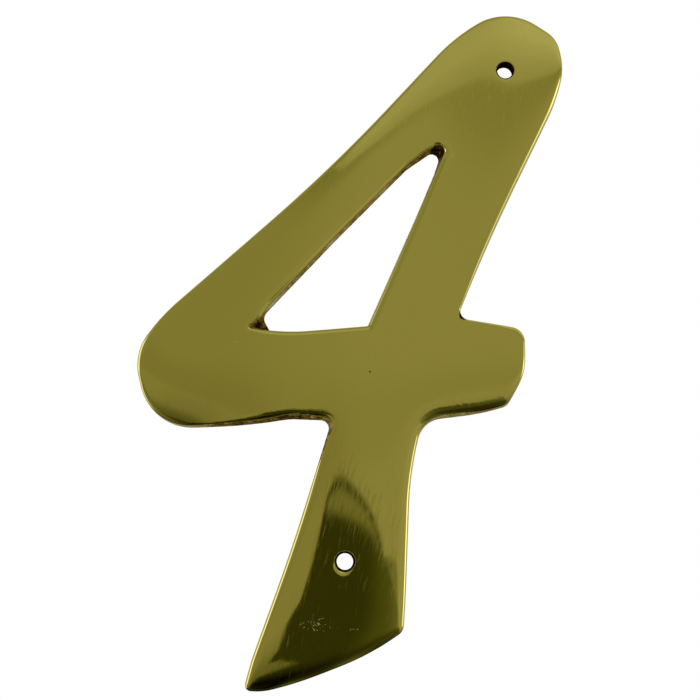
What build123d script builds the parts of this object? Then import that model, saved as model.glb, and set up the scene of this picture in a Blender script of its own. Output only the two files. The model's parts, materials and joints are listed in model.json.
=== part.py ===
"""Script house number 4: one solid sand casting with a polished face, a flat back,
a through counter and two plain screw holes.

Frame, in millimetres: X to the right and Z up as the number is read, Y into the wall. The wall
face lies at y = 0 and the polished face at y = -plate_thickness. The origin is on the wall face,
midway between the two screw holes.
"""
from build123d import *
from math import cos, hypot, radians, sin, tan
import os

# The plate
numeral_height = 152.4     # top of the head to the underside of the foot, at the wall face
plate_thickness = 4.0      # wall face to polished face
wall_draft = 3.0           # degrees that the outer walls lean in towards the polished face
edge_round = 0.7           # radius of the polished edges
edge_steps = 3             # flats that make up each rounded edge
arc_share = 0.98           # the most of a straight run that its two arcs may take together
least_radius = 0.1         # what an outer corner keeps where the rounding reaches its centre

# The two screw holes, one high in the head and one low in the stem
hole_rise = 110.9          # height from the lower hole to the upper one
hole_run = 36.5            # how far the upper hole stands to the right of the lower one
hole_diameter = 3.6        # clears a 3.5 mm wood screw
hole_rim_ease = 0.2        # softened front rim
dish_radius = 6.0          # hollow worn beside the lower hole by the buffing wheel
dish_depth = 0.4
dish_shift = (-0.35, -0.8)

# Lines that the strokes end on, measured from the origin at the wall face
top_level = 68.85          # top of the head
bar_level = -26.05         # lowest line of the crossbar
head_reach = 31.6          # right side of the head
arm_reach = 22.0           # right end of the crossbar
elbow_reach = -64.6        # left end, where the diagonal turns into the crossbar
stem_left_side = -21.3     # left side of the stem at the crossbar
stem_right_side = -4.9     # right side of the stem below the crossbar
bar_height = 22.0          # the crossbar, bottom to top
foot_level = top_level - numeral_height

# Outline corners, anticlockwise from the top of the head. A corner is the crossing of the two
# straight runs that meet there: across and up from its stroke's lines, then the radius in it.
head_crown = [(-12.8, 2.35, 12.9), (-25.0, -5.2, 44.5)]
diagonal_bend = [(-21.4, 33.05, 380.0)]
elbow_turn = [(5.2, 25.2, 66.0), (-1.0, 16.5, 16.5), (3.0, -0.1, 12.4)]
bar_underside = [(24.7, 0.6, 147.0), (34.0, 2.1, 17.0)]
lower_notch = [(0.0, 1.75, 1.8)]
stem_left_bends = [(-8.5, 31.6, 440.0), (-17.4, 6.8, 20.0)]
foot_toe = [(-19.2, 0.2, 2.6), (-14.9, -0.15, 26.0)]
foot_sole = [(-23.5, 1.8, 126.0), (-7.6, 7.9, 60.0)]
foot_heel = [(-0.45, 12.9, 2.8), (0.0, 19.1, 330.0)]
stem_right_bend = [(1.2, -9.7, 75.0)]
arm_fillet = [(4.0, 1.7, 5.8)]
arm_end = [(-9.7, 3.3, 57.0), (-4.0, 5.0, 3.1), (0.1, 12.2, 12.8), (0.0, 22.1, 3.5)]
upper_notch = [(11.8, 24.6, 3.4)]
stem_upper_bend = [(18.9, 42.0, 850.0)]
head_side = [(-1.9, -20.8, 42.0), (0.45, -12.9, 14.7), (-1.2, -5.4, 6.8)]

# Counter corners, clockwise from its top, each at the polished face and at the wall face. The
# metal is left thicker towards the wall in the two sharp corners, as the mould leaves it.
counter_nose = [((-25.4, -27.5, 1.45), (-27.3, -29.8, 1.5))]
counter_right = [((-29.35, -36.85, 300.0), (-29.55, -36.75, 14.0))]
counter_side = [((-33.3, -46.4, 300.0), (-33.55, -46.3, 300.0))]
counter_bar_right = [((8.25, 0.7, 0.7), (8.05, 0.95, 0.5))]
counter_bar_left = [((33.85, -0.75, 47.0), (33.85, -0.55, 47.0))]
counter_tip = [((24.4, 0.3, 0.5), (29.6, -0.25, 1.1))]
counter_web = [((27.3, 3.1, 1.2), (27.7, 3.1, 2.0))]
counter_slope = [((-52.3, -52.2, 260.0), (-52.15, -52.35, 260.0))]
counter_shoulder = [((-36.05, -35.65, 7.0), (-35.9, -35.8, 7.0))]


def placed(corners, across, up):
    """Corners moved from offsets to their place, measured from two stroke lines."""
    return [(across + x, up + z, radius) for x, z, radius in corners]


def outline_corners():
    """All corners of the outline at the wall face, anticlockwise."""
    return (
        placed(head_crown, head_reach, top_level)
        + diagonal_bend
        + placed(elbow_turn, elbow_reach, bar_level)
        + placed(bar_underside, elbow_reach, bar_level)
        + placed(lower_notch, stem_left_side, bar_level)
        + placed(stem_left_bends, stem_left_side, foot_level)
        + placed(foot_toe, stem_left_side, foot_level)
        + placed(foot_sole, stem_right_side, foot_level)
        + placed(foot_heel, stem_right_side, foot_level)
        + placed(stem_right_bend, stem_right_side, bar_level)
        + placed(arm_fillet, stem_right_side, bar_level)
        + placed(arm_end, arm_reach, bar_level)
        + placed(upper_notch, stem_right_side, bar_level)
        + placed(stem_upper_bend, stem_right_side, bar_level)
        + placed(head_side, head_reach, top_level)
    )


def counter_corners():
    """The counter's corners, clockwise: two lists, at the polished face and at the wall face."""
    bar_top = bar_level + bar_height
    groups = [
        (counter_nose, head_reach, top_level),
        (counter_right, head_reach, top_level),
        (counter_side, head_reach, top_level),
        (counter_bar_right, stem_left_side, bar_top),
        (counter_bar_left, elbow_reach, bar_top),
        (counter_tip, elbow_reach, bar_top),
        (counter_web, elbow_reach, bar_top),
        (counter_slope, head_reach, top_level),
        (counter_shoulder, head_reach, top_level),
    ]
    return [
        [placed([pair[side]], across, up)[0] for corner, across, up in groups for pair in corner]
        for side in (0, 1)
    ]


def runs_between(points):
    """Unit directions and lengths of the straight runs from each point to the next."""
    following = points[1:] + points[:1]
    runs = [after - point for point, after in zip(points, following)]
    return [run.normalized() for run in runs], [run.length for run in runs]


def fitted(corners):
    """Corners with their radii eased where two arcs want more of a run than it has."""
    ways, lengths = runs_between([Vector(x, 0, z) for x, z, _ in corners])
    halves = [tan(radians(ways[i - 1].get_angle(way)) / 2) for i, way in enumerate(ways)]
    wants = [corner[2] * half for corner, half in zip(corners, halves)]
    taken = [want + wants[i + 1 - len(wants)] for i, want in enumerate(wants)]
    shares = [min(1, arc_share * length / both) for length, both in zip(lengths, taken)]
    return [
        (x, z, radius * min(shares[i - 1], shares[i])) for i, (x, z, radius) in enumerate(corners)
    ]


def inset(corners, distance):
    """Anticlockwise corners with every run moved inwards and every arc kept concentric."""
    points = [Vector(x, 0, z) for x, z, _ in corners]
    ways, _ = runs_between(points)
    moved = []
    for i, (x, z, radius) in enumerate(corners):
        before, after = ways[i - 1], ways[i]
        inward = Vector(-before.Z - after.Z, 0, before.X + after.X)
        point = points[i] + inward * (distance / (1 + before.dot(after)))
        outer_corner = before.X * after.Z > before.Z * after.X
        kept = max(radius - distance, least_radius) if outer_corner else radius + distance
        moved.append((point.X, point.Z, kept))
    return moved


def rounded_face(corners, level):
    """Flat face parallel to the wall: straight runs through the corners, joined by arcs."""
    points = [Vector(x, level, z) for x, z, _ in corners]
    ways, lengths = runs_between(points)
    halves = [tan(radians(ways[i - 1].get_angle(way)) / 2) for i, way in enumerate(ways)]
    setbacks = [corner[2] * half for corner, half in zip(corners, halves)]
    edges = []
    for i, (point, way) in enumerate(zip(points, ways)):
        radius, setback = corners[i][2], setbacks[i]
        start, end = point - ways[i - 1] * setback, point + way * setback
        towards_centre = (way - ways[i - 1]).normalized()
        middle = point + towards_centre * (hypot(radius, setback) - radius)
        edges.append(Edge.make_three_point_arc(start, middle, end))
        run_left = lengths[i] - setback - setbacks[i + 1 - len(points)]
        edges.append(Edge.make_line(end, end + way * run_left))
    return Face(Wire(edges))


def edge_sections():
    """Level and inset of each line round the polished edge, from the wall's top to the flat."""
    start = plate_thickness - edge_round
    turns = [radians(90 * step / edge_steps) for step in range(edge_steps + 1)]
    return [(start + edge_round * sin(turn), edge_round * (1 - cos(turn))) for turn in turns]


def stacked(at_wall, at_edge):
    """Solid from the wall face up to where the edge starts to round, then round the edge."""
    rounded = [rounded_face(inset(at_edge, depth), -level) for level, depth in edge_sections()]
    return loft([rounded_face(at_wall, 0)] + rounded, ruled=True)


def blank():
    """The plate with leaning outer walls and a rounded edge, before any hole."""
    at_wall = fitted(outline_corners())
    lean = edge_sections()[0][0] * tan(radians(wall_draft))
    return stacked(at_wall, inset(at_wall, lean))


def counter():
    """What is cut from the plate for the triangle of the 4, flared where its edge is rounded."""
    at_edge, at_wall = counter_corners()
    return stacked(fitted(at_wall), fitted(at_edge))


def screw_holes():
    """Both bores, straight through, with the front rims softened and the lower one dished."""
    bores = []
    for side in (1, -1):
        across, up = side * hole_run / 2, side * hole_rise / 2
        bore = Cylinder(hole_diameter / 2, 3 * plate_thickness)
        rim = Cone(hole_diameter / 2, hole_diameter / 2 + 2 * hole_rim_ease, 2 * hole_rim_ease)
        bores.append(Pos(across, 0, up) * Rot(90, 0, 0) * bore)
        bores.append(Pos(across, -plate_thickness, up) * Rot(90, 0, 0) * rim)
    dish_centre = -plate_thickness + dish_depth - dish_radius
    dish = Pos(dish_shift[0] - hole_run / 2, dish_centre, dish_shift[1] - hole_rise / 2)
    return bores + [dish * Sphere(dish_radius)]


def numeral():
    """The finished casting."""
    return blank() - counter() - screw_holes()


os.makedirs("parts", exist_ok=True)
export_step(numeral(), "parts/numeral_four.step")
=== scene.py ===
import json
import math

import bpy
import numpy as np
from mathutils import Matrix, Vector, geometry


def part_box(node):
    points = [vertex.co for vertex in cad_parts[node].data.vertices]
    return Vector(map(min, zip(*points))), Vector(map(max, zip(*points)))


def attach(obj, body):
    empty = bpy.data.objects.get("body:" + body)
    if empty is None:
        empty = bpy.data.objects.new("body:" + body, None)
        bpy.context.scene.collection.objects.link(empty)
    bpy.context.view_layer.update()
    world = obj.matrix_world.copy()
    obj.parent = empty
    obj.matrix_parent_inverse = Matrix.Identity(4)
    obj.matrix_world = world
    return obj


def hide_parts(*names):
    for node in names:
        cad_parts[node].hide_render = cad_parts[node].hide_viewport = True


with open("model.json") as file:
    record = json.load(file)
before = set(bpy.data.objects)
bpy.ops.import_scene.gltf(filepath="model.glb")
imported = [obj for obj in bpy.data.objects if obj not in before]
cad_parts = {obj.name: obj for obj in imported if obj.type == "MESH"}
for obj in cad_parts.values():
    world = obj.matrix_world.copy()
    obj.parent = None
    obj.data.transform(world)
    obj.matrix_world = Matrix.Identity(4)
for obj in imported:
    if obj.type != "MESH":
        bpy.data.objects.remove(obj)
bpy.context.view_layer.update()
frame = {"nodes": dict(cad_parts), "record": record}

# House number 4 in polished cast brass. Shapes are worked out in millimetres, X to the right and
# Z up as the number is read, Y into the wall, and leave for Blender in metres.
mm = 0.001
pairsAtOnce = 4000000      # of a point and a rim's point, worked out in one array


# A new object at the origin, in the scene.
def addObject(name, data):
    made = bpy.data.objects.new(name, data)
    bpy.context.scene.collection.objects.link(made)
    return made


# Camera
cameraView = {
    "faces": (-17.132, -55.12),      # the point of the plate straight in front of it, x and z
    "reach": 347.0,                  # from the wall face to the lens
    "tiltUp": 7.682,
    "fieldOfView": 25.34,
    "clipStart": 0.01,
}


# A camera that looks along Y, tilted up a little, with nothing shifted.
def makeCamera(view):
    lens = bpy.data.cameras.new("camera")
    lens.sensor_fit = "HORIZONTAL"
    lens.angle = math.radians(view["fieldOfView"])
    lens.clip_start = view["clipStart"]
    camera = addObject("camera", lens)
    across, up = view["faces"]
    camera.location = (across * mm, -view["reach"] * mm, up * mm)
    camera.rotation_euler = (math.radians(90 + view["tiltUp"]), 0, 0)
    bpy.context.scene.camera = camera


makeCamera(cameraView)
print("camera ready")

# The numeral
numeral = {
    "node": "numeral_four",
    "edgeLevel": -3.3,         # where the CAD walls end and its rounded edge starts
    "tolerance": 0.01,
    "digits": 4,               # to which the CAD mesh's points are merged
    "shortRun": 0.45,          # runs shorter than this are dropped where the rim hardly turns
    "gentleTurn": 20.0,
    "fineParts": 24,           # points of each smooth piece, before they are evened out
    "rimStep": 0.42,           # distance between points along a rim
    "turnStep": 7.0,           # degrees between points where a rim turns sharply
    "roomShare": 0.8,          # of a tight corner's radius, taken by the lines round the edge
    "roomSpread": 5,           # points to each side that share what room there is
    "leastBend": 0.001,        # radians, so that a straight rim has a radius too
    "weldWithin": 1e-7,        # for the triangles between the rims

    # the polished face
    "mapPitch": 0.5,           # of the maps that the crown and the waves are read from
    "mapMargin": 18.0,
    "crownFall": 0.36,         # how far buffing has taken the face down at a straight rim
    "crownReach": 4.0,         # distance from the rim in which that fades to a third
    "waveFall": 0.012,         # unevenness left by the buffing wheel
    "waveReach": 7.0,
    "waveBase": 3.0,           # in units of waveFall, so that no wave stands proud
    "seed": 4,
    "edgeSlope": 80.0,         # how steep the polished edge is where the wall meets it
    "edgeReach": 0.35,         # distance in which that steepness fades to a third
    "boreReach": 0.10,         # the same round the bores
    "edgeDepth": 14.0,         # in reaches, how far in the edge's fall is added up from
    "edgeSteps": 2801,
    "slopeStep": 0.4,
    "flatStretches": (         # where the face runs flat to the rim: x, z, size, share left out
        (-62.0, -2.0, 9.0, 0.9),
        (12.0, -2.0, 13.0, 0.95),
        (24.0, -14.0, 8.0, 0.6),
        (-34.0, -25.0, 13.0, 0.9),
        (-57.0, -25.0, 11.0, -0.8),
    ),
    "softStretches": (         # where the edge rolls off more widely: x, z, size, how much more
        (-30.0, -26.0, 9.0, 0.35),
        (-50.0, -24.0, 7.0, -0.7),
        (-58.0, -21.0, 5.0, -0.4),
        (-23.0, -32.0, 7.0, -0.5),
        (12.0, -2.0, 11.0, -0.7),
        (10.0, -24.0, 10.0, 0.2),
        (5.0, 41.0, 3.0, -0.9),
        (-39.2, -2.6, 2.2, -0.8),
    ),
    "dishCentre": (-18.55, -56.2),   # hollow worn beside the lower hole
    "dishFall": 0.4,
    "dishReach": 1.5,

    # the cast skin, the wear and the painted shade
    "skinReach": 0.03,         # how far rough skin comes onto the face
    "skinStretches": (         # where it comes further: x, z, size, how much further
        (-29.0, -26.0, 5.0, 1.5),
        (-42.0, -25.0, 7.0, 0.45),
        (-22.0, -30.0, 6.0, 0.3),
        (20.0, -21.5, 2.5, 0.5),
        (-21.8, -26.5, 2.0, 0.6),
        (6.0, -24.5, 5.0, 0.5),
        (7.6, -1.6, 1.2, 0.9),
        (5.0, 40.5, 3.5, 0.5),
        (-39.5, -3.2, 2.5, 0.2),
        (18.25, 55.45, 3.0, 0.6),
        (-18.25, -55.45, 3.0, 1.2),
    ),
    # The skin's black is its own oxide, and painted shade in the bores, the webs and under the
    # bars.
    "oxideAndShadeSpots": (             # where the skin is black: x, z, size, how black
        (4.5, 38.5, 5.0, 0.9),
        (-1.0, 32.0, 9.0, 0.5),
        (-34.0, -25.0, 16.0, 0.62),
        (10.0, -23.0, 12.0, 0.25),
        (-38.0, -2.5, 4.0, 0.42),
        (-37.5, -2.9, 1.1, 0.85),
        (-35.7, -3.9, 1.5, 0.85),
        # the two bores, whose black is painted shade
        (18.25, 55.45, 4.5, 1.0),
        (-18.25, -55.45, 4.5, 1.0),
        (-27.0, 9.0, 9.0, 0.35),
        (-14.0, 21.0, 9.0, 0.35),
        (7.6, -1.6, 1.6, 0.9),
    ),
    "dents": (                 # x, z, size across, size up, share
        (-29.5, -25.0, 5.5, 2.2, 1.0),
        (-43.0, -26.0, 9.0, 1.8, 0.9),
        (12.0, -22.5, 9.0, 2.0, 0.4),
        (19.0, -20.5, 3.0, 2.0, 1.0),
    ),
    "scratches": (
        (-23.7, -69.0, 4.5, 1.6, 1.0),
        (-16.2, -70.2, 1.2, 0.5, 1.0),
        (5.3, 35.5, 1.3, 0.9, 1.0),
        (-40.5, -0.5, 1.6, 0.9, 0.8),
        (-42.0, -7.0, 1.4, 1.0, 0.8),
    ),
    # painted shade, darker on the edges that look down: where it lies
    "edgeShadeSpots": (               # the same, and how far it comes in from the rim
        (-36.0, -82.0, 7.0, 6.0, 1.0, 3.0),
        (-25.0, -78.0, 8.0, 6.0, 1.0, 1.6),
        (-11.0, -73.0, 8.0, 6.0, 0.9, 1.2),
        (12.0, -22.0, 11.0, 5.0, 1.0, 1.6),
        (-21.5, -26.5, 2.5, 3.0, 1.0, 1.3),
        (-54.0, -24.0, 9.0, 9.0, 0.28, 7.0),
        (-52.0, -26.0, 8.0, 5.0, 0.75, 0.6),
    ),
    "edgeShadeWay": (2.0, -0.5),       # times how far the rim looks down, and added to it
    "backSkin": 1.6,           # over 1 the skin shines a little, as bare cast metal
    "backOxide": 0.12,

    # the walls and the mesh
    "wallDraft": 3.0,          # degrees that the outer wall leans
    "wallShare": 0.8,          # of the plate's thickness, over which it does
    "wallRough": 0.16,         # depth of the lumps on the cast walls
    "cleanRough": 0.3,         # share of it that clean walls have
    "lumpStart": 0.1,          # share of the wall's height by which the lumps start early
    "lumpWaves": ((3.1, 2.2, 4.0), (-2.3, 4.9, 2.6), (6.1, -3.7, 5.2)),
    "wallLevels": (0.0, 0.02, 0.1, 0.25, 0.42, 0.6, 0.78, 0.92),
    "outlineInsets": (
        0, 0.02, 0.045, 0.08, 0.12, 0.17, 0.24, 0.33, 0.45, 0.6, 0.78, 1.0, 1.3, 1.7, 2.2,
    ),
    "boreInsets": (0, 0.02, 0.05, 0.09, 0.14, 0.2, 0.3, 0.45, 0.6, 0.8, 1.0, 1.25, 1.5, 1.8),
    "borePoints": 72,
    "fillPitch": 0.75,         # distance between the points of the face
    "fillClear": 0.5,          # in pitches, how far they keep from its rims
    "backPitch": 1.3,
    "backClear": 0.4,
    "fullerCorners": (         # where the metal is fuller over the webs: x, z, size, how much
        (-37.5, -1.7, 2.6, 0.5),
        (2.7, 37.0, 2.5, 0.4),
    ),
    "fullerWay": 1.4,          # times how far the rim looks down
    "cornersTowards": ((-0.2, 1), (-1, -0.1), (1, -1.2)),   # the counter's three corners
}


# Closed chains of points at one level: the edges that only one triangle nearer the wall uses.
def openLoops(points, triangles, level, tolerance):
    nearWall = (points[:, 1][triangles] > level - tolerance).all(1)
    kept = triangles[nearWall]
    edges = np.concatenate([kept[:, [0, 1]], kept[:, [1, 2]], kept[:, [2, 0]]])
    count = len(points)
    forward, backward = edges[:, 0] * count + edges[:, 1], edges[:, 1] * count + edges[:, 0]
    atLevel = (np.abs(points[:, 1][edges] - level) < tolerance).all(1)
    edges = edges[~np.isin(forward, backward) & atLevel]
    following = dict(edges.tolist())
    loops = []
    while following:
        start, onward = following.popitem()
        chain = [start]
        while onward != start:
            chain.append(onward)
            onward = following.pop(onward)
        loops.append(points[chain][:, [0, 2]])
    return loops


# Area inside a rim: half the sum of x * next z - next x * z over its points.
def signedArea(rim):
    ahead = np.roll(rim, -1, 0)
    return float((rim[:, 0] * ahead[:, 1] - ahead[:, 0] * rim[:, 1]).sum() / 2)


# The CAD node's rims at the wall face and where its rounded edge starts: the outline first, then
# the counter and the bores, by their areas.
def readRims(setup):
    node = frame["nodes"][setup["node"]]
    mesh = node.data
    mesh.calc_loop_triangles()
    flat = np.empty(len(mesh.vertices) * 3, np.float32)
    mesh.vertices.foreach_get("co", flat)
    corners = np.empty(len(mesh.loop_triangles) * 3, np.int32)
    mesh.loop_triangles.foreach_get("vertices", corners)
    rounded = np.round(flat.reshape(-1, 3) / mm, setup["digits"])
    points, merged = np.unique(rounded, axis=0, return_inverse=True)
    triangles = merged.reshape(-1)[corners].reshape(-1, 3).astype(np.int64)
    found = {}
    for name, level in (("wall", 0.0), ("edge", setup["edgeLevel"])):
        loops = openLoops(points, triangles, level, setup["tolerance"])
        loops.sort(key=lambda loop: -abs(signedArea(loop)))
        found[name] = loops
    return found


# Corner points of the rim, made a smooth closed curve and read again at even steps: cubic pieces
# whose tangents are the directions of the two runs at a point, weighted by how long they are.
def smoothRim(setup, corners):
    run = np.roll(corners, -1, 0) - corners
    length = np.hypot(*run.T)
    heading = np.arctan2(run[:, 1], run[:, 0])
    turn = np.abs((heading - np.roll(heading, 1) + math.pi) % (2 * math.pi) - math.pi)
    before = np.roll(length, 1)
    drop = (before < setup["shortRun"]) & (turn < math.radians(setup["gentleTurn"]))
    drop &= ~np.roll(drop, 1)
    corners = corners[~drop]
    run = np.roll(corners, -1, 0) - corners
    length = np.hypot(*run.T)[:, None]
    tangent = run + np.roll(run, 1, 0)
    tangent /= np.hypot(*tangent.T)[:, None]
    t = (np.arange(setup["fineParts"]) / setup["fineParts"])[None, :, None]
    start, end = corners[:, None], np.roll(corners, -1, 0)[:, None]
    leave, arrive = (tangent * length)[:, None], (np.roll(tangent, -1, 0) * length)[:, None]
    fine = (
        (2 * t**3 - 3 * t**2 + 1) * start
        + (t**3 - 2 * t**2 + t) * leave
        + (3 * t**2 - 2 * t**3) * end
        + (t**3 - t**2) * arrive
    ).reshape(-1, 2)
    return evenly(setup, fine)


# A dense closed curve, thinned to points spaced by length plus turning.
def evenly(setup, fine):
    run = np.roll(fine, -1, 0) - fine
    heading = np.arctan2(run[:, 1], run[:, 0])
    turn = np.abs((np.roll(heading, -1) - heading + math.pi) % (2 * math.pi) - math.pi)
    cost = np.hypot(*run.T) / setup["rimStep"] + np.degrees(turn) / setup["turnStep"]
    passed = np.concatenate([[0], np.cumsum(cost)])
    count = int(round(passed[-1]))
    wanted = np.arange(count) / count * passed[-1]
    closed = np.concatenate([fine, fine[:1]])
    return np.stack([np.interp(wanted, passed, closed[:, k]) for k in (0, 1)], 1)


# Unit vectors in the plate's plane, square to the rim, towards the metal on the rim's right.
def intoMetal(rim):
    along = np.roll(rim, -1, 0) - np.roll(rim, 1, 0)
    along /= np.hypot(*along.T)[:, None]
    return np.stack([along[:, 1], -along[:, 0]], 1)


# Share of a full inset that fits at each point: less where the rim bends round the metal in a
# radius under the deepest inset, spread over the neighbours by a running least and mean.
def roomInside(setup, rim, deepest):
    run = np.roll(rim, -1, 0) - rim
    length = np.hypot(*run.T)
    before, lengthBefore = np.roll(run, 1, 0), np.roll(length, 1)
    crossed = before[:, 1] * run[:, 0] - before[:, 0] * run[:, 1]
    bend = np.arcsin(np.clip(crossed / (length * lengthBefore), -1, 1))
    radius = (length + lengthBefore) / 2 / np.maximum(bend, setup["leastBend"])
    room = np.minimum(1, setup["roomShare"] * radius / deepest)
    shifts = range(-setup["roomSpread"], setup["roomSpread"] + 1)
    room = np.min([np.roll(room, shift) for shift in shifts], axis=0)
    return np.mean([np.roll(room, shift) for shift in shifts], axis=0)


# How far round a rim each point is, counted 0 to 3 from corner to corner of the counter.
def cornerCount(rim, towards):
    first = int(np.argmax(rim @ np.array(towards[0])))
    rim = np.roll(rim, -first, 0)
    run = np.roll(rim, -1, 0) - rim
    passed = np.concatenate([[0], np.cumsum(np.hypot(*run.T))])
    marks = sorted(int(np.argmax(rim @ np.array(way))) for way in towards[1:])
    stops = [0, passed[marks[0]], passed[marks[1]], passed[-1]]
    return rim, np.interp(passed[:-1], stops, [0, 1, 2, 3])


# The counter's rim at the wall face, read at the same share of each side as its front rim.
def counterRims(front, back, towards):
    front, frontCount = cornerCount(front, towards)
    back, backCount = cornerCount(back, towards)
    backCount, back = np.append(backCount, 3), np.concatenate([back, back[:1]])
    return front, np.stack([np.interp(frontCount, backCount, back[:, k]) for k in (0, 1)], 1)


# 1 at a place and less round it: exp(-(distance / size)^power).
def bell(points, x, z, size, power=2):
    apart = np.hypot(points[:, 0] - x, points[:, 1] - z) / size
    return np.exp(-(apart**power))


# A rim moved outwards by some bells, as far as it looks down.
def fuller(setup, rim):
    inward = intoMetal(rim)
    for x, z, size, more in setup["fullerCorners"]:
        down = np.clip(setup["fullerWay"] * inward[:, 1], 0, 1)
        rim = rim - inward * (more * bell(rim, x, z, size) * down)[:, None]
    return rim


# All rims, the outline first: each at the wall face and where its rounded edge starts, the insets
# of the lines round that edge, and the edge's reach.
def numeralRims(setup, thickness):
    read = readRims(setup)
    outline = smoothRim(setup, read["wall"][0])
    lean = thickness * setup["wallShare"] * math.tan(math.radians(setup["wallDraft"]))
    outlineFront = outline + intoMetal(outline) * lean
    front, back = smoothRim(setup, read["edge"][1]), smoothRim(setup, read["wall"][1])
    front, back = counterRims(front, back, setup["cornersTowards"])
    mounts = {mount["name"]: mount for mount in frame["record"]["mounts"]}
    radius = mounts["screw_holes"]["dims"]["hole_r_mm"]
    angle = np.arange(setup["borePoints"]) / setup["borePoints"] * 2 * math.pi
    circle = radius * np.stack([np.cos(angle), np.sin(angle)], 1)
    bores = [circle + (loop.min(0) + loop.max(0)) / 2 for loop in read["wall"][2:]]
    return [
        (outline, outlineFront, setup["outlineInsets"], setup["edgeReach"]),
        (back, fuller(setup, front), setup["outlineInsets"], setup["edgeReach"]),
    ] + [(bore, bore, setup["boreInsets"], setup["boreReach"]) for bore in bores]


# True where a point lies in the metal: a line to the right of it crosses the rims an odd number
# of times.
def inMetal(points, rims):
    odd = np.zeros(len(points), bool)
    for rim in rims:
        ahead = np.roll(rim, -1, 0)
        rise = np.where(ahead[:, 1] == rim[:, 1], 1.0, ahead[:, 1] - rim[:, 1])
        for part in inParts(points, rim):
            x, z = points[part, :1], points[part, 1:]
            crossed = (rim[:, 1] > z) != (ahead[:, 1] > z)
            reached = rim[:, 0] + (z - rim[:, 1]) / rise * (ahead[:, 0] - rim[:, 0])
            odd[part] ^= (crossed & (x < reached)).sum(1) % 2 == 1
    return odd


# The numbers of the points, split so that each part times the rim's points isn't too many.
def inParts(points, rim):
    return np.array_split(np.arange(len(points)), 1 + len(points) * len(rim) // pairsAtOnce)


# What the polished face is read from. Crown: 1 inside the outline and 0 outside, blurred so that
# it climbs by 1 - exp(-distance / reach) / 2 from a straight rim. Waves: blurred random heights.
# Edge: the fall of a rounded edge, in units of its reach, whose slope is that of
# edgeSlope * exp(-distance), added up from far inside.
def facePlan(setup, outline, thickness):
    low = outline.min(0) - setup["mapMargin"]
    high = outline.max(0) + setup["mapMargin"]
    across, up = (np.arange(low[k], high[k], setup["mapPitch"]) for k in (0, 1))
    grid = np.stack(np.meshgrid(across, up, indexing="ij"), 2)
    solid = inMetal(grid.reshape(-1, 2), [outline]).reshape(grid.shape[:2]).astype(float)
    turns = [2 * math.pi * np.fft.fftfreq(n, setup["mapPitch"]) for n in solid.shape]
    square = turns[0][:, None] ** 2 + turns[1][None, :] ** 2
    spread = 1 / (1 + setup["crownReach"] ** 2 * square)
    crown = np.fft.ifft2(np.fft.fft2(solid) * spread).real
    draw = np.random.default_rng(setup["seed"]).normal(size=solid.shape)
    spread = np.exp(-square * setup["waveReach"] ** 2 / 2)
    waves = np.fft.ifft2(np.fft.fft2(draw) * spread).real
    distance = np.linspace(0, setup["edgeDepth"], setup["edgeSteps"])
    slope = np.tan(math.radians(setup["edgeSlope"]) * np.exp(-distance))
    piece = (slope[1:] + slope[:-1]) / 2 * (distance[1] - distance[0])
    fall = np.concatenate([np.cumsum(piece[::-1])[::-1], [0]])
    return {
        "low": low,
        "crown": crown,
        "waves": waves / waves.std(),
        "edge": (distance, fall),
        "thickness": thickness,
    }


# A map read between its four nearest grid points, each weighted by how near it is.
def readMap(values, low, pitch, points):
    place = (points - low) / pitch
    cell = np.floor(place).astype(int)
    part = place - cell
    i, j = cell[:, 0], cell[:, 1]
    s, t = part[:, 0], part[:, 1]
    return (
        values[i, j] * (1 - s) * (1 - t)
        + values[i + 1, j] * s * (1 - t)
        + values[i, j + 1] * (1 - s) * t
        + values[i + 1, j + 1] * s * t
    )


# How far the face is taken down, away from its rounded edge: twice crownFall * (1 - crown), less
# in the flat stretches, plus the waves and the worn hollow's bell.
def buffedFall(setup, plan, points):
    pitch = setup["mapPitch"]
    crown = 1 - readMap(plan["crown"], plan["low"], pitch, points)
    for x, z, size, share in setup["flatStretches"]:
        crown = crown * (1 - share * bell(points, x, z, size))
    waves = readMap(plan["waves"], plan["low"], pitch, points) + setup["waveBase"]
    dish = setup["dishFall"] * bell(points, *setup["dishCentre"], setup["dishReach"], 4)
    return 2 * setup["crownFall"] * crown + setup["waveFall"] * waves + dish


# How far the face lies behind the CAD's flat face at points that are so far inside a rim, and the
# normal there: the slope of buffedFall by central differences, plus that of the rounded edge.
def face(setup, plan, points, inset, inward, reach):
    distance, fall = plan["edge"]
    softer = np.ones(len(points))
    for x, z, size, more in setup["softStretches"]:
        softer = softer + more * bell(points, x, z, size)
    reach = reach * softer
    total = buffedFall(setup, plan, points) + reach * np.interp(inset / reach, distance, fall)
    step = setup["slopeStep"]
    steepness = np.tan(math.radians(setup["edgeSlope"]) * np.exp(-inset / reach))
    slope = -inward * steepness[:, None]
    for k in (0, 1):
        shift = np.zeros(2)
        shift[k] = step
        ahead = buffedFall(setup, plan, points + shift)
        slope[:, k] += (ahead - buffedFall(setup, plan, points - shift)) / (2 * step)
    normal = np.stack([slope[:, 0], -np.ones(len(points)), slope[:, 1]], 1)
    return total, normal / np.sqrt((normal**2).sum(1))[:, None]


# How black the skin is, from its own oxide and from painted shade, the most of some bells: 1 in the
# bores, whose black is painted shade, and 0 on clean walls.
def oxideAndShadeAt(setup, points):
    soot = np.zeros(len(points))
    for x, z, size, share in setup["oxideAndShadeSpots"]:
        soot = np.maximum(soot, share * bell(points, x, z, size, 4))
    return soot
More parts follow.
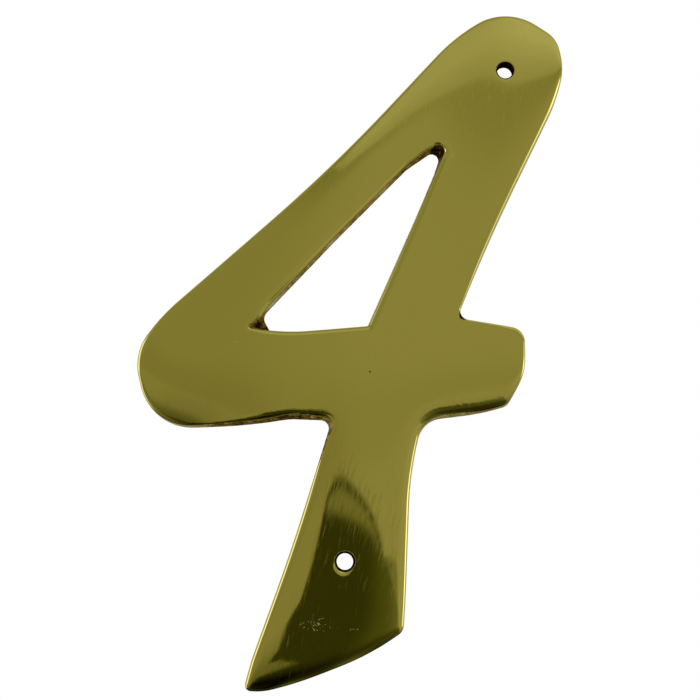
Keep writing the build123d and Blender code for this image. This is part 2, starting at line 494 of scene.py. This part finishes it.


# Five marks for each point: rough cast skin, which is exp(-inset / reach), the skin's black of
# oxide and painted shade, dents of the rolled edge, scratches, and painted shade on an edge that
# looks down. The last three are the most of some bells, and the edge's painted shade also fades
# with the inset.
def marksAt(setup, points, inset, inward):
    marks = np.zeros((len(points), 5))
    reach = np.full(len(points), setup["skinReach"])
    for x, z, size, more in setup["skinStretches"]:
        reach = reach + more * bell(points, x, z, size)
    marks[:, 0] = np.exp(-inset / reach)
    marks[:, 1] = oxideAndShadeAt(setup, points)
    for k, name in ((2, "dents"), (3, "scratches")):
        for x, z, across, up, share in setup[name]:
            apart = np.hypot((points[:, 0] - x) / across, (points[:, 1] - z) / up)
            marks[:, k] = np.maximum(marks[:, k], share * np.exp(-(apart**2)))
    # Painted shade on the edges that look down.
    for x, z, across, up, share, depth in setup["edgeShadeSpots"]:
        apart = np.hypot((points[:, 0] - x) / across, (points[:, 1] - z) / up)
        darkened = share * np.exp(-(apart**2) - (inset / depth) ** 2)
        marks[:, 4] = np.maximum(marks[:, 4], darkened)
    times, added = setup["edgeShadeWay"]
    marks[:, 4] *= np.clip(times * inward[:, 1] + added, 0, 1)
    return marks


# Height of the lumps on a cast wall, 0 to 1: crossed sine waves of uneven length.
def lumps(setup, flat, level):
    total = np.zeros(len(flat))
    for across, up, deep in setup["lumpWaves"]:
        total += np.sin(flat[:, 0] * across + flat[:, 1] * up + level * deep)
    return 0.5 + total / (2 * len(setup["lumpWaves"]))


# Places in the plate's plane, made points at some level.
def raised(flat, level):
    return np.stack([flat[:, 0], level, flat[:, 1]], 1)


# One rim's bands: the wall from the wall face up, then the lines round the polished edge, each a
# ring of points. Gives points, normals and marks, as arrays of levels x points x columns. The
# wall is let in by its lumps, times sin(pi * share of its height), and more where the skin is
# black.
def bands(setup, plan, wallRim, edgeRim, insets, reach):
    inward = intoMetal(edgeRim)
    room = roomInside(setup, edgeRim, insets[-1])
    zeros = np.zeros(len(edgeRim))
    top = face(setup, plan, edgeRim, zeros, inward, reach)[0] - plan["thickness"]
    rings, normals, marks = [], [], []
    for share in setup["wallLevels"]:
        flat = wallRim + (edgeRim - wallRim) * share
        rough = setup["wallRough"] * math.sin(math.pi * min(share + setup["lumpStart"], 1))
        rough = rough * (setup["cleanRough"] + oxideAndShadeAt(setup, flat))
        flat = flat + inward * (rough * lumps(setup, flat, top * share))[:, None]
        rings.append(raised(flat, top * share))
        normals.append(np.zeros((len(flat), 3)))
        marks.append(marksAt(setup, flat, zeros, inward))
    marks[0][:, :2] = setup["backSkin"], setup["backOxide"]
    for inset in insets:
        inside = inset * room
        flat = edgeRim + inward * inside[:, None]
        fall, normal = face(setup, plan, flat, inside, inward, reach)
        rings.append(raised(flat, fall - plan["thickness"]))
        normals.append(normal)
        marks.append(marksAt(setup, flat, inside, inward))
    return np.stack(rings), np.stack(normals), np.stack(marks)


# Quads between each ring and the next, facing out of the metal.
def bandFaces(first, levels, count):
    ring = first + np.arange(levels - 1)[:, None] * count
    here = np.arange(count)
    after = (here + 1) % count
    quads = [ring + here, ring + count + here, ring + count + after, ring + after]
    return np.stack(quads, 2).reshape(-1, 4)


# Evenly packed points in the metal, in rows pitch * sqrt(3/4) apart, that keep clear of the rims,
# then triangles between them and the rims' own points, which are given by their numbers. Added
# points are numbered on from the last of all so far.
def fillBetween(setup, points, numbers, pitch, clear):
    rims = [points[ring][:, [0, 2]] for ring in numbers]
    low, high = rims[0].min(0), rims[0].max(0)
    up = np.arange(low[1], high[1], pitch * math.sqrt(0.75))
    across = np.arange(low[0], high[0], pitch)
    grid = np.stack(np.meshgrid(across, up, indexing="ij"), 2)
    grid[:, 1::2, 0] += pitch / 2
    grid = grid.reshape(-1, 2)
    grid = grid[inMetal(grid, rims)]
    distance = np.full(len(grid), np.inf)
    for rim in rims:
        distance = np.minimum(distance, nearestOn(grid, rim)[0])
    grid = grid[distance > pitch * clear]
    flat = np.concatenate([*rims, grid])
    number = np.concatenate([*numbers, len(points) + np.arange(len(grid))])
    edges, first = [], 0
    for rim in rims:
        here = np.arange(len(rim))
        edges.append(np.stack([first + here, first + (here + 1) % len(rim)], 1))
        first += len(rim)
    edges = np.concatenate(edges).tolist()
    made = geometry.delaunay_2d_cdt(flat.tolist(), edges, [], 0, setup["weldWithin"])
    source = np.array([origin[0] for origin in made[3]])
    triangles = source[np.array(made[2])]
    triangles = triangles[inMetal(flat[triangles].mean(1), rims)]
    a, b, c = flat[triangles[:, 0]], flat[triangles[:, 1]], flat[triangles[:, 2]]
    turned = (b[:, 0] - a[:, 0]) * (c[:, 1] - a[:, 1]) < (b[:, 1] - a[:, 1]) * (c[:, 0] - a[:, 0])
    triangles[turned] = triangles[turned][:, ::-1]
    return grid, number[triangles]


# Distance from each point to the nearest stretch of a rim, and which of the rim's points that is.
def nearestOn(points, rim):
    inward = intoMetal(rim)
    distance, index = np.empty(len(points)), np.empty(len(points), int)
    for part in inParts(points, rim):
        apart = points[part, None] - rim[None]
        closest = np.argmin((apart**2).sum(2), 1)
        index[part] = closest
        straight = apart[np.arange(len(part)), closest]
        distance[part] = np.abs((straight * inward[closest]).sum(1))
    return distance, index


# The face between the rims. A point takes its inset, its way in and its reach from the rim that
# is nearest, as counted in that rim's reach.
def facePoints(setup, plan, rims, flat):
    inset, reach = np.full(len(flat), np.inf), np.ones(len(flat))
    inward = np.zeros((len(flat), 2))
    for _, edgeRim, _, rimReach in rims:
        distance, index = nearestOn(flat, edgeRim)
        nearer = distance / rimReach < inset / reach
        inset[nearer], reach[nearer] = distance[nearer], rimReach
        inward[nearer] = intoMetal(edgeRim)[index[nearer]]
    fall, normal = face(setup, plan, flat, inset, inward, reach)
    points = raised(flat, fall - plan["thickness"])
    return points, normal, marksAt(setup, flat, inset, inward)


# The flat back between the rims, with the skin of the back and no normals of its own.
def backPoints(setup, flat):
    zeros = np.zeros(len(flat))
    marks = np.zeros((len(flat), 5))
    marks[:, :2] = setup["backSkin"], setup["backOxide"]
    return raised(flat, zeros), np.zeros((len(flat), 3)), marks


# The whole casting as one closed mesh: the bands of every rim, and the face and the back between.
def makeNumeral(setup):
    low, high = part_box(setup["node"])
    thickness = -low.y / mm
    rims = numeralRims(setup, thickness)
    print("rims read from the frame")
    plan = facePlan(setup, rims[0][0], thickness)
    parts, faces, firstRings, lastRings, total = [], [], [], [], 0
    for rim in rims:
        ringParts = bands(setup, plan, *rim)
        levels, count = ringParts[0].shape[:2]
        parts.append([values.reshape(levels * count, -1) for values in ringParts])
        faces += bandFaces(total, levels, count).tolist()
        firstRings.append(total + np.arange(count))
        lastRings.append(total + (levels - 1) * count + np.arange(count))
        total += levels * count

    points = np.concatenate([part[0] for part in parts])
    pitch, clear = setup["fillPitch"], setup["fillClear"]
    added, triangles = fillBetween(setup, points, lastRings, pitch, clear)
    parts.append(facePoints(setup, plan, rims, added))
    faces += triangles.tolist()

    points = np.concatenate([part[0] for part in parts])
    pitch, clear = setup["backPitch"], setup["backClear"]
    added, triangles = fillBetween(setup, points, firstRings, pitch, clear)
    parts.append(backPoints(setup, added))
    faces += triangles[:, ::-1].tolist()

    points, normals, marks = (np.concatenate(values) for values in zip(*parts))
    points = np.clip(points, np.array(low) / mm, np.array(high) / mm)
    mesh = bpy.data.meshes.new("castNumeral")
    mesh.from_pydata(points * mm, [], faces)
    mesh.shade_smooth()
    for k, name in enumerate(("skin", "soot", "dented", "scratched", "tarnished")):
        attribute = mesh.attributes.new(name, "FLOAT", "POINT")
        attribute.data.foreach_set("value", marks[:, k].copy())
    shadeNumeral(mesh, firstRings, normals)
    print("numeral:", len(mesh.vertices), "points", len(mesh.polygons), "faces")
    return addObject("castNumeral", mesh)


# Sharp edges round the flat back, and the worked-out normals on the polished face, so that its
# reflections don't show the mesh.
def shadeNumeral(mesh, backRims, normals):
    ends = np.empty(len(mesh.edges) * 2, np.int32)
    mesh.edges.foreach_get("vertices", ends)
    ends = ends.reshape(-1, 2)
    following = np.full(len(normals), -1)
    for ring in backRims:
        following[ring] = np.roll(ring, -1)
    sharp = (following[ends[:, 0]] == ends[:, 1]) | (following[ends[:, 1]] == ends[:, 0])
    mesh.attributes.new("sharp_edge", "BOOLEAN", "EDGE").data.foreach_set("value", sharp)
    shaded = np.empty(len(mesh.loops) * 3, np.float32)
    mesh.corner_normals.foreach_get("vector", shaded)
    shaded = shaded.reshape(-1, 3)
    vertex = np.empty(len(mesh.loops), np.int32)
    mesh.loops.foreach_get("vertex_index", vertex)
    known = (normals[vertex] ** 2).sum(1) > 0.5
    shaded[known] = normals[vertex][known]
    mesh.normals_split_custom_set(shaded.tolist())


castNumeral = makeNumeral(numeral)
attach(castNumeral, "root")
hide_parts(numeral["node"])


# Shader maths
# A socket that adds a Math node for each operator, and any other node through make().
class Wire:
    def __init__(self, tree, socket=None):
        self.tree, self.socket = tree, socket

    def make(self, kind, settings=None, values=None, output=0):
        node = self.tree.nodes.new(kind)
        for name, value in (settings or {}).items():
            if name == "stops":
                stops = node.color_ramp.elements
                while len(stops) < len(value):
                    stops.new(1.0)
                for stop, (place, colour) in zip(stops, value):
                    stop.position, stop.color = place, colour
            else:
                setattr(node, name, value)
        for name, value in (values or {}).items():
            if isinstance(value, Wire):
                self.tree.links.new(value.socket, node.inputs[name])
            else:
                node.inputs[name].default_value = value
        return Wire(self.tree, node.outputs[output] if len(node.outputs) else None)

    def maths(self, operation, first, second=0.0):
        return self.make("ShaderNodeMath", {"operation": operation}, {0: first, 1: second})

    def __add__(self, other):
        return self.maths("ADD", self, other)

    def __sub__(self, other):
        return self.maths("SUBTRACT", self, other)

    def __rsub__(self, other):
        return self.maths("SUBTRACT", other, self)

    def __mul__(self, other):
        return self.maths("MULTIPLY", self, other)

    def __truediv__(self, other):
        return self.maths("DIVIDE", self, other)

    def __pow__(self, other):
        return self.maths("POWER", self, other)

    def __abs__(self):
        return self.maths("ABSOLUTE", self)

    def least(self, other):
        return self.maths("MINIMUM", self, other)

    def most(self, other):
        return self.maths("MAXIMUM", self, other)

    __radd__, __rmul__ = __add__, __mul__


# A wire in the node tree of a material or a world, emptied first.
def emptyTree(owner):
    owner.use_nodes = True
    owner.node_tree.nodes.clear()
    return Wire(owner.node_tree)


# 0 below one value, 1 above the other, and smooth between them. The other way round it falls.
def ramp(wire, low, high):
    return wire.make(
        "ShaderNodeMapRange",
        {"interpolation_type": "SMOOTHSTEP", "clamp": True},
        {"Value": wire, "From Min": low, "From Max": high},
    )


# 0 outside the first and last value, 1 between the middle two.
def window(wire, stops):
    return ramp(wire, stops[0], stops[1]) * (1 - ramp(wire, stops[2], stops[3]))


# From the first value to the second: first + share * (second - first).
def blend(first, second, share):
    return first + share * (second - first)


# An amount that comes in from low to high.
def fadeIn(wire, amount, low, high):
    return amount * ramp(wire, low, high)


# An amount that turns into another from low to high.
def passing(wire, first, second, low, high):
    return blend(first, second, ramp(wire, low, high))


# blend for colours, on the Mix node's colour sockets.
def mixColour(wire, share, first, second):
    sockets = {0: share, 6: first, 7: second}
    return wire.make("ShaderNodeMix", {"data_type": "RGBA"}, sockets, output=2)


# Brass
brass = {
    "colour": (0.48, 0.412, 0.068, 1),
    "roughness": 0.025,
    # the blackest of these colours is also painted shade
    "castColours": (           # of the rough skin, from its cleanest to its blackest
        (0.0, (0.47, 0.42, 0.19, 1)),
        (0.35, (0.23, 0.157, 0.018, 1)),
        (0.7, (0.058, 0.027, 0.004, 1)),
        (1.0, (0.006, 0.003, 0.001, 1)),
    ),
    "castRoughness": 0.55,
    "bareSkin": (1.1, 1.6),    # of the skin mark, where the back's bare metal starts
    "bareShine": 0.75,         # and how metallic it is
    "specular": 0.0,
    "grain": (2.2, 4.0),       # of a noise: cells to the millimetre, and detail
    "patches": (0.7, 3.0),
    "clouds": (0.13, 4.0),
    "dents": (0.7, 3.0),
    "brush": (1.0, 3.0),
    "scratchLines": (0.8, 1.0),
    "scratchGaps": (1.6, 1.0),
    "grainDepth": 0.05,
    "oxideAndShadeGrain": 2.0,          # how much deeper it is where the skin is black
    "grainShade": 0.8,         # darker and lighter grain, patches and clouds on the skin
    "patchShade": 1.3,
    "cloudShade": 0.9,
    "shadeFrom": (0.1, 0.4),   # of the skin's black, where grain and patches start and end
    "shadeTo": (1.0, 0.9),
    "ragged": 0.5,             # how uneven the polished area's border is
    "border": (0.4, 0.55),
    "glintGrain": (0.56, 0.66),      # painted glints, pale flecks: in the grain, the patches and the skin's black
    "glintPatches": (0.45, 0.58),
    "glintsInDark": (0.45, 0.6, 0.85, 1.0),
    "glintStrength": 0.45,
    "brushSize": (0.42, 1.0, 5.0),   # the buffing's fine lines: how wide and how long
    "brushTurn": 13.0,               # and how far they lean to the right
    "brushLines": (0.03, 0.42, 0.62),      # their roughness, and where in the noise they come in
    "brushDeeper": (0.11, 0.58, 0.76),     # the same for the few deeper ones
    "dentDepth": 0.06,         # unevenness of the rolled edge under the crossbar
    "scratchWidth": (0.022, 0.008),
    "scratchBreaks": (0.5, 0.55),
    "scratchedPart": (0.3, 0.6),
    "scratchColour": (0.62, 0.56, 0.22, 1),
    "scratchRoughness": 0.42,
    # painted shade on the edges that look down
    "edgeShadeColour": (0.046, 0.035, 0.004, 1),
    "pit": (-12.7, -13.7, 0.22),     # a small blind pore: x, z, radius
    "pitRim": (1.5, 0.5),            # in radii
    "pitShare": 0.9,
    # painted shade of the pore, in the dark skin's colour
    "pitShadeColour": (0.058, 0.027, 0.004, 1),
}
noiseMiddle = 0.5


# The numeral's material. Where the skin mark is high it shows the rough skin, coloured by its
# black of oxide and painted shade, with grain, patches and painted glints. Elsewhere it is polished
# metal with buffing lines, scratches, painted shade on edges that look down, and one pore in
# painted shade.
def makeBrass(setup):
    material = bpy.data.materials.new("polishedBrass")
    wire = emptyTree(material)
    place = wire.make("ShaderNodeTexCoord", output="Object")
    inMillimetres = {"Vector": place, "Scale": 1 / mm}
    place = wire.make("ShaderNodeVectorMath", {"operation": "SCALE"}, inMillimetres)
    # The second mark is the skin's black: its own oxide, and painted shade in the bores, the webs
    # and under the bars.
    skin, soot, dented, scratched, tarnished = (
        wire.make("ShaderNodeAttribute", {"attribute_name": name}, output="Fac")
        for name in ("skin", "soot", "dented", "scratched", "tarnished")
    )

    def noise(name, at=place):
        scale, detail = setup[name]
        return wire.make("ShaderNodeTexNoise", {}, {"Vector": at, "Scale": scale, "Detail": detail})

    grain, patches, dents = noise("grain"), noise("patches"), noise("dents")
    ragged = skin + setup["ragged"] * (grain - noiseMiddle) * (1 - skin)
    rough = ramp(ragged, *setup["border"])
    bare = ramp(skin, *setup["bareSkin"])

    # Painted glints: pale flecks in the dark skin's colour.
    paintedGlints = ramp(grain, *setup["glintGrain"]) * ramp(patches, *setup["glintPatches"])
    paintedGlints = paintedGlints * window(soot, setup["glintsInDark"])
    mottled = setup["patchShade"] * (noiseMiddle - patches)
    mottled = mottled + setup["grainShade"] * (noiseMiddle - grain)
    mottled = mottled * ramp(soot, *setup["shadeFrom"]) * ramp(soot, *setup["shadeTo"])
    shade = soot + mottled - setup["glintStrength"] * paintedGlints * soot
    shade = shade + setup["cloudShade"] * (noise("clouds") - noiseMiddle) * bare
    cast = wire.make("ShaderNodeValToRGB", {"stops": setup["castColours"]}, {"Fac": shade})

    stretched = wire.make("ShaderNodeMapping", {"vector_type": "TEXTURE"}, {
        "Vector": place,
        "Rotation": (0, math.radians(setup["brushTurn"]), 0),
        "Scale": setup["brushSize"],
    })
    brushed = noise("brush", stretched)
    polish = fadeIn(brushed, *setup["brushLines"]) + fadeIn(brushed, *setup["brushDeeper"])
    lines = ramp(abs(noise("scratchLines") - noiseMiddle), *setup["scratchWidth"])
    lines = lines * ramp(noise("scratchGaps"), *setup["scratchBreaks"])
    scratch = lines * ramp(scratched, *setup["scratchedPart"])
    polish = setup["roughness"] + polish + setup["scratchRoughness"] * scratch

    x, z, radius = setup["pit"]
    apart = {0: place, 1: (1, 0, 1), 2: (-x, 0, -z)}
    apart = wire.make("ShaderNodeVectorMath", {"operation": "MULTIPLY_ADD"}, apart)
    apart = wire.make("ShaderNodeVectorMath", {"operation": "LENGTH"}, {0: apart}, output="Value")
    pore = ramp(apart, *(radius * share for share in setup["pitRim"]))

    colour = mixColour(wire, scratch, setup["colour"], setup["scratchColour"])
    # painted shade on the edges that look down
    colour = mixColour(wire, tarnished, colour, setup["edgeShadeColour"])
    # the pore's painted shade
    colour = mixColour(wire, pore * setup["pitShare"], colour, setup["pitShadeColour"])
    colour = mixColour(wire, rough, colour, cast)
    height = rough * (grain - noiseMiddle) * (1 + setup["oxideAndShadeGrain"] * soot)
    height = height * setup["grainDepth"] + dented * dents * setup["dentDepth"]
    bump = wire.make("ShaderNodeBump", {}, {"Strength": 1.0, "Distance": mm, "Height": height})
    shader = wire.make("ShaderNodeBsdfPrincipled", {}, {
        "Base Color": colour,
        "Metallic": 1 - rough * (1 - setup["bareShine"] * bare),
        "Specular IOR Level": setup["specular"],
        "Roughness": blend(polish, setup["castRoughness"], rough),
        "Normal": bump,
    })
    wire.make("ShaderNodeOutputMaterial", {}, {"Surface": shader})
    return material


castNumeral.data.materials.append(makeBrass(brass))
print("brass ready")

# Studio, in degrees: turn is to the right of straight in front of the number, rise is above the
# horizon, and fromBack is from straight behind the number. A pair is where a ramp starts and ends,
# and a four is a window, if no note says otherwise. An amount before a pair is faded in by it, and
# two amounts before a pair pass from one to the other.
studio = {
    "wall": (0.352, 0.41, -5.0, 1.0),  # grey in front of the number
    "strip": 0.035,              # a little darker just above the horizon
    "stripRise": (2.5, 4.0, 5.0, 7.5),
    "corner": (0.05, 6.0, 14.0),  # a little lighter low on the right
    "cornerRise": (4.0, 1.0),

    "light": (0.45, 0.52, 0.0, 3.0),  # the soft light above, from its edge inwards
    "lightRight": (0.11, 0.0, 10.0),  # more to the right
    "lightRightInside": (1.5, 6.0),
    "lightRise": 18.25,          # where it starts
    "lightStep": (1.0, 4.0, 7.0),  # lower to the right
    "lightLean": (0.93, -4.0),   # higher to the left, for each degree past a turn
    "lightFade": (0.3, 36.0, 62.0),  # less overhead
    "lightEdge": (-0.35, 0.35),
    "hem": 0.05,                 # darker hem along the light's lower edge
    "hemLeft": (0.03, -4.0, -7.0),  # and more to the left
    "hemFade": (-1.0, -0.15),    # in hem widths
    "hemMiddle": 0.5,
    "hemWidth": (1.8, 4.5, 1.5, 4.0),  # from its middle to both sides
    "hemRight": (0.03, 2.0, 5.0),  # a wider, fainter hem on the right
    "hemRightFade": (-7.0, -1.0),

    "low": 0.2,                  # the left half below the horizon
    "lowRise": (-1.0, -6.0),
    "lowTurn": (0.1, -0.1),
    "under": (0.046, 0.012, -6.9, -9.5),  # below that a black line
    "underStart": (-6.2, -7.3),
    "underPaler": (0.035, -12.0, -18.0),  # and paler again
    "besideMiddle": 1.0,
    "beside": (0.29, 9.0, 26.0),  # paler to both sides
    "besideFade": (0.65, -14.0, -44.0),

    "dark": 0.045,               # the dark place that the camera stands in
    "darkPaler": ((0.055, 1.0, 4.5), (0.07, 4.5, 8.0), (0.13, 8.0, 13.0)),  # to the right
    "darkDeeper": (0.55, -6.0, -11.0),  # darker lower down, and more so on the left
    "darkLeftDeeper": (0.75, -7.0, -10.5),
    "darkLeftTurn": (1.0, -1.5),
    "darkCurve": (2.72, 0.43, 0.055),  # its top: height, and how it falls with turn and turn^2
    "darkTopLeft": (3.3, 0.5, -2.9),  # the most of it: height, and fall past a turn
    "darkTopRight": (0.05, 0.75, 7.3),  # the least of it
    "darkTopEdge": (-0.08, 0.22),  # where that is hazy
    "darkTopMore": (0.7, 4.0, 8.0),  # and how much more on the right
    "darkLeft": -4.07,           # its left side, and how much further out its steps lie
    "darkSteps": ((1.4, -0.6, -1.8), (1.2, -3.4, -4.3), (-2.2, -4.6, -5.2), (-1.4, -5.2, -6.2)),
    "darkHaze": 0.35,            # of the left side, and more at its steps
    "darkHazeSteps": ((0.5, -0.8, -2.0), (0.5, -3.4, -4.2)),
    "veil": 0.25,                # the paler rim inside its top
    "veilInside": (0.3, 0.6),
    "veilLeft": 0.6,             # what a degree on its left side counts for
    "line": (0.045, 0.105, -2.5, 1.5),  # the dark line round that
    "coreCurve": (1.6, 0.3, 0.02),  # the top of its black core, as darkCurve
    "coreEdge": (-0.2, 0.35),
    "gleam": 0.10,               # a slanted pale streak low on the left
    "gleamAt": (-4.0, -5.3, 0.62),  # turn and rise, and its slope
    "gleamWidth": (0.45, 0.0),
    "gleamTurn": (-4.8, -4.0, -2.2, -1.2),

    "nearFloor": 0.22,           # the floor at the camera's feet
    "nearRise": (-36.0, -54.0),
    "sides": (1.5, 1.8),         # the bright lights, left and right
    "sideLean": (16.0, 4.0, -6.0),  # how much further back they stand low down
    "leftLight": (-88.0, -76.0, -58.0, -36.0),
    "leftRise": (-44.0, -26.0, 23.0, 34.0),
    "rightLight": (34.0, 56.0, 76.0, 86.0),
    "rightRise": (-14.0, -6.0, 4.0, 12.0),
    "behind": (0.05, 0.58, -35.0, -12.0),  # past the sides
    "behindTurn": (98.0, 84.0),
    "backdropTurn": (40.0, 30.0),  # the white background
    "gain": 1.25,                # the strength of it all
    "blueLevel": 0.38,           # where it is grey, bluer above and yellower below
    "bluePower": 0.65,
    "blueMost": 2.0,
    "greenAbove": (0.03, 14.0, 19.0),  # a little green in the light above
    "greenDark": (0.08, 0.25, 0.1),  # and in the dark
}


# A height that falls with turn and turn squared.
def curve(turn, height, slope, bend):
    return height - slope * turn - bend * turn * turn


# A height that falls by a slope for each degree past something.
def fallPast(past, height, slope):
    return height - slope * past.most(0.0)


# The wall in front of the number, with the soft light above it.
def wallAndLight(setup, turn, rise):
    wall = passing(turn, *setup["wall"])
    wall = wall - setup["strip"] * window(rise, setup["stripRise"])
    wall = wall + fadeIn(turn, *setup["corner"]) * ramp(rise, *setup["cornerRise"])

    slope, start = setup["lightLean"]
    edge = setup["lightRise"] - fadeIn(turn, *setup["lightStep"])
    inside = rise - (edge + slope * (start - turn).most(0.0))
    light = passing(inside, *setup["light"])
    more = fadeIn(turn, *setup["lightRight"]) * ramp(inside, *setup["lightRightInside"])
    light = (light + more) * (1 - fadeIn(rise, *setup["lightFade"]))

    width = passing(abs(turn - setup["hemMiddle"]), *setup["hemWidth"])
    hem = setup["hem"] + fadeIn(turn, *setup["hemLeft"])
    hem = hem * ramp(inside / width, *setup["hemFade"])
    hem = hem + fadeIn(turn, *setup["hemRight"]) * ramp(inside, *setup["hemRightFade"])
    return blend(wall - hem, light, ramp(inside, *setup["lightEdge"]))


# Below the horizon on the left: dark, with a black line, paler to both sides.
def lowerLeft(setup, level, turn, rise):
    toLeft = ramp(turn, *setup["lowTurn"])
    beside = fadeIn(abs(turn - setup["besideMiddle"]), *setup["beside"])
    beside = beside * (1 - fadeIn(rise, *setup["besideFade"]))
    under = passing(rise, *setup["under"]) + beside + fadeIn(rise, *setup["underPaler"])
    level = blend(level, setup["low"], toLeft * ramp(rise, *setup["lowRise"]))
    return blend(level, under, toLeft * ramp(rise, *setup["underStart"]))


# The dark place, by how far inside its top, its left side and its black core a direction is.
def darkPlace(setup, level, turn, rise):
    height, slope, start = setup["darkTopLeft"]
    dome = curve(turn, *setup["darkCurve"]).least(fallPast(start - turn, height, slope))
    height, slope, start = setup["darkTopRight"]
    top = dome.most(fallPast(turn - start, height, slope)) - rise
    left, haze, dark = turn - setup["darkLeft"], setup["darkHaze"], setup["dark"]
    for step in setup["darkSteps"]:
        left = left + fadeIn(rise, *step)
    for step in setup["darkHazeSteps"]:
        haze = haze + fadeIn(rise, *step)
    for step in setup["darkPaler"]:
        dark = dark + fadeIn(turn, *step)
    deeper = fadeIn(rise, *setup["darkLeftDeeper"]) * ramp(turn, *setup["darkLeftTurn"])
    dark = dark * (1 - fadeIn(rise, *setup["darkDeeper"])) * (1 - deeper)

    within = ramp(top.least(left * setup["veilLeft"]), *setup["veilInside"])
    veil = blend(passing(turn, *setup["line"]), setup["veil"], within)
    core = curve(turn, *setup["coreCurve"]) - rise
    dark = blend(veil, dark, ramp(core, *setup["coreEdge"]))
    gleamTurn, gleamRise, slope = setup["gleamAt"]
    gleam = ramp(abs(rise - gleamRise + slope * (turn - gleamTurn)), *setup["gleamWidth"])
    dark = dark + setup["gleam"] * gleam * window(turn, setup["gleamTurn"])
    low, high = setup["darkTopEdge"]
    inside = ramp(top, low, high + fadeIn(turn, *setup["darkTopMore"]))
    return blend(level, dark, ramp(left / haze, 0.0, 1.0) * inside)


# The floor at the camera's feet, and the two side lights.
def floorAndSides(setup, level, turn, rise):
    level = blend(level, setup["nearFloor"], ramp(rise, *setup["nearRise"]))
    leftSide, rightSide = setup["sides"]
    back = fadeIn(rise, *setup["sideLean"])
    left = leftSide * window(turn + back, setup["leftLight"])
    right = rightSide * window(turn - back, setup["rightLight"])
    level = level + left * window(rise, setup["leftRise"])
    return level + right * window(rise, setup["rightRise"])


# The world's light as a function of direction alone.
def makeStudio(setup):
    world = bpy.data.worlds.new("studio")
    bpy.context.scene.world = world
    wire = emptyTree(world)
    way = wire.make("ShaderNodeTexCoord", output="Generated")
    split = wire.make("ShaderNodeSeparateXYZ", {}, {"Vector": way})
    across, away, up = (Wire(wire.tree, socket) for socket in split.socket.node.outputs)
    rise = wire.maths("ARCSINE", up) * math.degrees(1)
    turn = wire.maths("ARCTAN2", across, away * -1.0) * math.degrees(1)
    fromBack = wire.maths("ARCCOSINE", away) * math.degrees(1)

    level = wallAndLight(setup, turn, rise)
    level = lowerLeft(setup, level, turn, rise)
    level = darkPlace(setup, level, turn, rise)
    level = floorAndSides(setup, level, turn, rise)
    pastSides = ramp(fromBack, *setup["behindTurn"])
    backdrop = ramp(fromBack, *setup["backdropTurn"])
    level = blend(level, passing(rise, *setup["behind"]), pastSides)
    seen = wire.make("ShaderNodeLightPath", output="Is Camera Ray")
    level = blend(blend(level, 1.0, backdrop), 1.0, seen)

    blue = ((level / setup["blueLevel"]) ** setup["bluePower"]).least(setup["blueMost"])
    blue = blend(blue, 1.0, seen.most(pastSides))
    green = fadeIn(rise, *setup["greenAbove"]) + fadeIn(level, *setup["greenDark"])
    green = 1 + green * (1 - seen)
    level = level * blend(setup["gain"], 1.0, seen.most(backdrop))
    channels = {"X": level, "Y": level * green, "Z": level * blue}
    colour = wire.make("ShaderNodeCombineXYZ", {}, channels)
    emit = wire.make("ShaderNodeBackground", {}, {"Color": colour, "Strength": 1.0})
    wire.make("ShaderNodeOutputWorld", {}, {"Surface": emit})


makeStudio(studio)
print("studio ready")

# Floor
floor = {
    "colour": (0.88, 0.845, 0.765, 1),
    "roughness": 0.9,
    "radius": 1.15,
    "height": -0.2,            # under the number, which hangs above it
    "sides": 96,
    "glow": 0.18,              # seen by the camera alone, so that it looks pale and lights nothing
}


# A disc: points round a circle, and one face.
def makeFloor(setup):
    angle = np.arange(setup["sides"]) / setup["sides"] * 2 * math.pi
    rim = np.stack([np.cos(angle), np.sin(angle), np.zeros(len(angle))], 1) * setup["radius"]
    rim[:, 2] = setup["height"]
    mesh = bpy.data.meshes.new("paleFloor")
    mesh.from_pydata(rim, [], [list(range(len(rim)))])
    disc = addObject("paleFloor", mesh)
    disc.visible_glossy = False
    material = bpy.data.materials.new("paleFloor")
    wire = emptyTree(material)
    seen = wire.make("ShaderNodeLightPath", output="Is Camera Ray")
    glow = mixColour(wire, seen, (0, 0, 0, 1), (setup["glow"],) * 3 + (1,))
    shader = wire.make("ShaderNodeBsdfPrincipled", {}, {
        "Base Color": setup["colour"],
        "Roughness": setup["roughness"],
        "Specular IOR Level": 0.0,
        "Emission Color": glow,
        "Emission Strength": 1.0,
    })
    wire.make("ShaderNodeOutputMaterial", {}, {"Surface": shader})
    mesh.materials.append(material)
    return disc


makeFloor(floor)
print("floor ready")

view = bpy.context.scene.view_settings
view.view_transform = "Standard"
